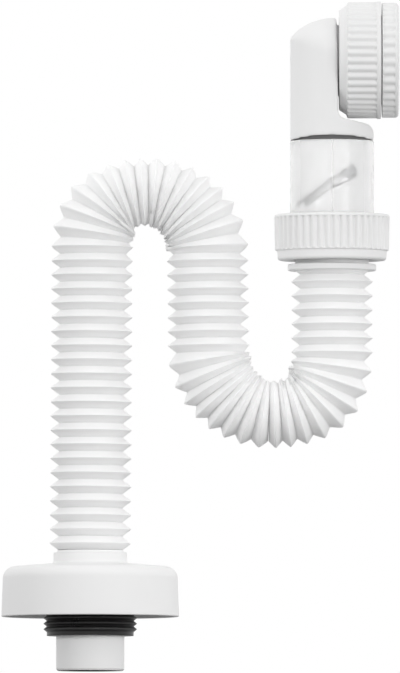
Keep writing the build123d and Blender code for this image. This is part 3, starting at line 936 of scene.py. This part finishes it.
class TRAP_OT_head_union(bpy.types.Operator):
    """Turn the hose's collar and the ribbed nut round it"""

    bl_idname = "trap.head_union"
    bl_label = "Collar and hose nut"

    def execute(self, context):
        sizes = context.scene.trap_grip
        low, top = reach("hose_collar", 2)
        collar = rounded([
            (17.1, low, 0.2),
            (20.8, low, 0.8),
            (20.8, low + 3.1, 0.8),
            (17.25, low + 3.1, 0.3),
            (17.25, top - 3.0, 0.2),
            (21.6, top - 3.0, 0.3),
            (21.6, top, 0.3),
            (15.4, top, 0.3),
            (15.4, low + 1.75, 0.2),
        ])
        dress(turned("collar", collar, "head"), "white_moulding", "hose_end", "hose_collar")

        low, top = reach("hose_nut", 2)
        back = reach("hose_nut", 0)[1] - HEAD_X
        nut = rounded([
            (17.55, low, 0.3),
            (25.5, low, 1.3),
            (25.7, low + 4.2, 0.4),
            (back - 0.3, low + 4.9, 0.8),
            (back, top, 1.2),
            (22.7, top, 0.4),
            (22.7, low + 2.6, 0.2),
            (17.55, low + 2.6, 0.3),
        ])
        count = sizes.hose_nut_ribs
        flutes = [ribs(low + 4.7, top - 1.4, 1.3, 25.0)]
        obj = turned("hose_nut_shell", nut, "head", count * RIB_POINTS, flutes)
        fluted(obj, "rib", "head", count, "white_moulding")
        dress(obj, "white_moulding", "hose_nut", "hose_nut", sharp=FLUTED_EDGE)
        return {"FINISHED"}


class TRAP_OT_valve(bpy.types.Operator):
    """Turn the clear valve body with its threaded foot, and finish the flap and seals inside"""

    bl_idname = "trap.valve"
    bl_label = "Clear valve"

    def execute(self, context):
        low, top = reach("valve_body", 2)
        crest = reach("valve_body", 0)[1] - HEAD_X
        shoulder = low + 11.8
        body = rounded([
            (17.4, low + SEAT, 0.3),
            (crest, low + SEAT, 0.4),
            (crest, shoulder, 0.3),
            (19.7, low + 13.6, 0.8),
            (19.7, top, 0.4),
            (17.4, top, 0.3),
        ])
        flutes = [thread(low + 0.8, shoulder, 1.5, 21.0)]
        obj = turned("clear_tube", body, "head", 160, flutes)
        fluted(obj, "thread", "head", 1, "clear_plastic")
        dress(obj, "clear_plastic", "valve", "valve_body", sharp=FLUTED_EDGE)
        for node, slot in (
            ("hose_seal", "seal_rubber"),
            ("elbow_seal", "seal_rubber"),
            ("flap", "white_moulding"),
            ("flap_pad", "pale_silicone"),
            ("flap_pin", "steel"),
        ):
            coat(node, slot)
        spring = merged_copy("flap_spring", "spring_coil")
        spring.data.materials.clear()
        spring.data.materials.append(finish("steel"))
        spring.data.shade_smooth()
        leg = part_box("flap_spring")[0]
        hinge = (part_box("flap_pin")[0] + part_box("flap_pin")[1]) / 2
        hinge.y = leg.y
        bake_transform(spring)
        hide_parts("flap_spring")
        return {"FINISHED"}


class TRAP_OT_elbow(bpy.types.Operator):
    """Round the elbow's edges as its mould does and draw out the slope of its dome"""

    bl_idname = "trap.elbow"
    bl_label = "Inlet elbow"

    def slope(self, obj):
        """Draws the round of the dome out into the long slope of its back."""
        back = reach("inlet_elbow", 0)[0]
        top = reach("inlet_elbow", 2)[1]
        rise, run, fullness, least = 11.0, 18.8, 1.6, 0.01
        for vertex in obj.data.vertices:
            along = max(0.0, vertex.co.x / MM - back)
            above = vertex.co.z / MM - (top - rise)
            if above > 0 and along < run:
                slow = rise * (1 - (1 - along / run) ** fullness) ** (1 / fullness)
                quick = math.sqrt(rise**2 - max(0.0, rise - along) ** 2)
                vertex.co.z = (top - rise + above * slow / max(quick, least)) * MM

    def execute(self, context):
        obj = merged_copy("inlet_elbow", "elbow_shell")
        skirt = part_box("valve_body")[1].z
        joint, face_foot = skirt + 0.001, skirt + 0.008
        face, face_half = (HEAD_X + 2.4) * MM, 0.006

        def weight(place):
            """How far a point is rounded: most near the cut face, least at the joint."""
            if place.z < joint:
                return 0.2
            near = abs(place.x - face) < face_half and place.z > face_foot
            return 1.0 if near else 0.4

        softened(obj, voxel=0.0006, passes=16, weight=weight)
        self.slope(obj)
        dress(obj, "white_gloss", "elbow", "inlet_elbow", sharp=60)
        return {"FINISHED"}


class TRAP_OT_inlet_union(bpy.types.Operator):
    """Turn the ribbed inlet nut and the adapter that screws into it"""

    bl_idname = "trap.inlet_union"
    bl_label = "Inlet nut and adapter"

    def execute(self, context):
        sizes = context.scene.trap_grip
        low, end = reach("inlet_union_nut", 0)
        flange = low + 17.8
        nut = rounded([
            (16.5, low, 0.3),
            (23.4, low, 1.0),
            (25.6, low + 3.4, 0.4),
            (27.3, low + 4.0, 0.8),
            (27.3, flange, 0.1),
            (27.6, flange, 0.3),
            (27.6, end, 0.5),
            (21.25, end, 0.4),
            (21.25, low + 2.6, 0.2),
            (16.5, low + 2.6, 0.3),
        ])
        count = sizes.inlet_nut_ribs
        flutes = [ribs(low + 3.8, flange - 0.1, 1.1, 25.0)]
        obj = turned("inlet_nut_shell", nut, "inlet", count * RIB_POINTS, flutes)
        fluted(obj, "rib", "inlet", count, "white_moulding")
        dress(obj, "white_moulding", "inlet_nut", "inlet_union_nut", sharp=FLUTED_EDGE)

        low, end = reach("inlet_adapter", 0)
        ring = end - 7.8
        adapter = rounded([
            (16.1, low + SEAT, 0.3),
            (20.95, low + SEAT, 0.5),
            (20.95, ring, 0.1),
            (27.0, ring, 0.4),
            (27.0, end, 1.6),
            (16.1, end, 0.8),
        ])
        count = sizes.adapter_ribs
        flutes = [ribs(ring + 0.3, end - 1.5, 1.0, 26.0), thread(low + 0.6, ring - 0.6, 1.2, 20.0)]
        obj = turned("adapter_shell", adapter, "inlet", count * RIB_POINTS, flutes)
        fluted(obj, "rib", "inlet", count, "white_moulding")
        fluted(obj, "thread", "inlet", 1, "white_moulding")
        dress(obj, "white_moulding", "adapter", "inlet_adapter", sharp=FLUTED_EDGE)
        coat("inlet_washer", "seal_rubber")
        return {"FINISHED"}


def surround(ambient):
    """World that is full white to the eye and of the ambient strength to what it lights."""
    world = bpy.data.worlds.new("surround")
    world.use_nodes = True
    wiring = Wiring(world.node_tree)
    rays = wiring.place("ShaderNodeLightPath").outputs
    seen = wiring.math("ADD", rays["Is Camera Ray"], rays["Is Glossy Ray"])
    seen = wiring.math("MINIMUM", wiring.math("ADD", seen, rays["Is Transmission Ray"]), 1.0)
    strength = wiring.math("ADD", wiring.math("MULTIPLY", seen, 1.0 - ambient), ambient)
    backdrop = world.node_tree.nodes["Background"]
    wiring.fill(backdrop, {"Color": (1.0, 1.0, 1.0, 1.0), "Strength": strength})
    return world


def floor_finish(shade=0.45, glow=0.6):
    """Material of the floor: grey to the light, white to the eye, and clear from below."""
    material = bpy.data.materials.new("pale_floor")
    material.use_nodes = True
    wiring = Wiring(material.node_tree)
    shader = material.node_tree.nodes["Principled BSDF"]
    rays = wiring.place("ShaderNodeLightPath").outputs
    seen = wiring.math("ADD", rays["Is Camera Ray"], rays["Is Transmission Ray"])
    seen = wiring.math("MINIMUM", seen, 1.0)
    feeds = {
        "Roughness": 0.9,
        "Specular IOR Level": 0.0,
        "Base Color": (shade, shade, shade, 1.0),
        "Emission Color": (1.0, 1.0, 1.0, 1.0),
        "Emission Strength": wiring.math("MULTIPLY", seen, glow),
    }
    wiring.fill(shader, feeds)
    back = wiring.place("ShaderNodeNewGeometry").outputs["Backfacing"]
    clear = wiring.place("ShaderNodeBsdfTransparent").outputs["BSDF"]
    below = wiring.place("ShaderNodeMixShader", {0: back, 1: shader.outputs["BSDF"], 2: clear})
    output = material.node_tree.nodes["Material Output"]
    wiring.feed(output.inputs["Surface"], below.outputs["Shader"])
    return material


def lamp(name, place, aim, size, spread, power):
    """Square soft lamp at a place, turned to a point, its light kept within a spread in degrees."""
    light = bpy.data.lights.new(name, "AREA")
    light.shape = "SQUARE"
    light.size = size
    light.spread = math.radians(spread)
    light.energy = power
    obj = linked(name, light)
    obj.location = place
    obj.rotation_euler = (Vector(aim) - Vector(place)).to_track_quat("-Z", "Y").to_euler()
    obj.visible_glossy = spread == OPEN_SPREAD


class TRAP_OT_studio(bpy.types.Operator):
    """Set the pale floor, soft lamps, white surround and camera"""

    bl_idname = "trap.studio"
    bl_label = "Studio"

    def execute(self, context):
        scene = context.scene
        studio = scene.trap_studio
        scene.view_settings.view_transform = "Standard"
        scene.world = surround(studio.ambient)

        half = 3
        corners = [(-half, -half, 0), (half, -half, 0), (half, half, 0), (-half, half, 0)]
        floor = bpy.data.meshes.new("floor")
        floor.from_pydata(corners, [], [(0, 1, 2, 3)])
        floor.materials.append(floor_finish())
        ground = linked("floor", floor)

        middle = Vector((0.0515, 0.0, 0.157))
        lamp("head_lamp", (-0.95, -0.6, 0.55), (0.08, 0.0, 0.235), 0.5, 20, studio.head)
        lamp("outlet_lamp", (0.75, -0.75, 0.12), (0.0, 0.0, 0.035), 0.4, 45, studio.outlet)
        lamp("top_lamp", (0.2, -0.15, 1.3), middle, 0.8, OPEN_SPREAD, studio.top)
        lamp("front_lamp", (0.15, -1.8, 0.35), middle, 1.2, OPEN_SPREAD, studio.front)

        camera = bpy.data.cameras.new("camera")
        camera.sensor_fit = "VERTICAL"
        camera.sensor_height = 36.0
        camera.lens = camera.sensor_height * studio.distance / studio.view_height
        camera.clip_end = 20.0
        view = linked("camera", camera)
        tilt = studio.elevation
        view.location = middle + studio.distance * Vector((0.0, -math.cos(tilt), math.sin(tilt)))
        view.rotation_euler = (math.pi / 2 - tilt, 0.0, 0.0)
        scene.camera = view
        return {"FINISHED"}


class TRAP_PT_panel(bpy.types.Panel):
    """Lists the trap's pieces in the order they are made"""

    bl_idname = "TRAP_PT_panel"
    bl_label = "Flexible trap"
    bl_space_type = "VIEW_3D"
    bl_region_type = "UI"
    bl_category = "Trap"

    def draw(self, context):
        for step in steps:
            self.layout.operator(step.bl_idname)


groups = {
    "trap_hose": TrapHose,
    "trap_grip": TrapGrip,
    "trap_finish": TrapFinish,
    "trap_studio": TrapStudio,
}
steps = (
    TRAP_OT_finishes,
    TRAP_OT_outlet,
    TRAP_OT_hose,
    TRAP_OT_head_union,
    TRAP_OT_valve,
    TRAP_OT_elbow,
    TRAP_OT_inlet_union,
    TRAP_OT_studio,
)
classes = (*groups.values(), *steps, TRAP_PT_panel)


def register():
    """Adds the classes, and their values to the scene."""
    for kind in classes:
        bpy.utils.register_class(kind)
    for name, kind in groups.items():
        setattr(bpy.types.Scene, name, PointerProperty(type=kind))


def unregister():
    """Takes away what register added."""
    for name in groups:
        delattr(bpy.types.Scene, name)
    for kind in reversed(classes):
        bpy.utils.unregister_class(kind)


def main():
    """Makes every piece and the studio."""
    register()
    bpy.ops.trap.finishes()
    bpy.ops.trap.outlet()
    bpy.ops.trap.hose()
    bpy.ops.trap.head_union()
    bpy.ops.trap.valve()
    bpy.ops.trap.elbow()
    bpy.ops.trap.inlet_union()
    bpy.ops.trap.studio()


if __name__ == "__main__":
    main()
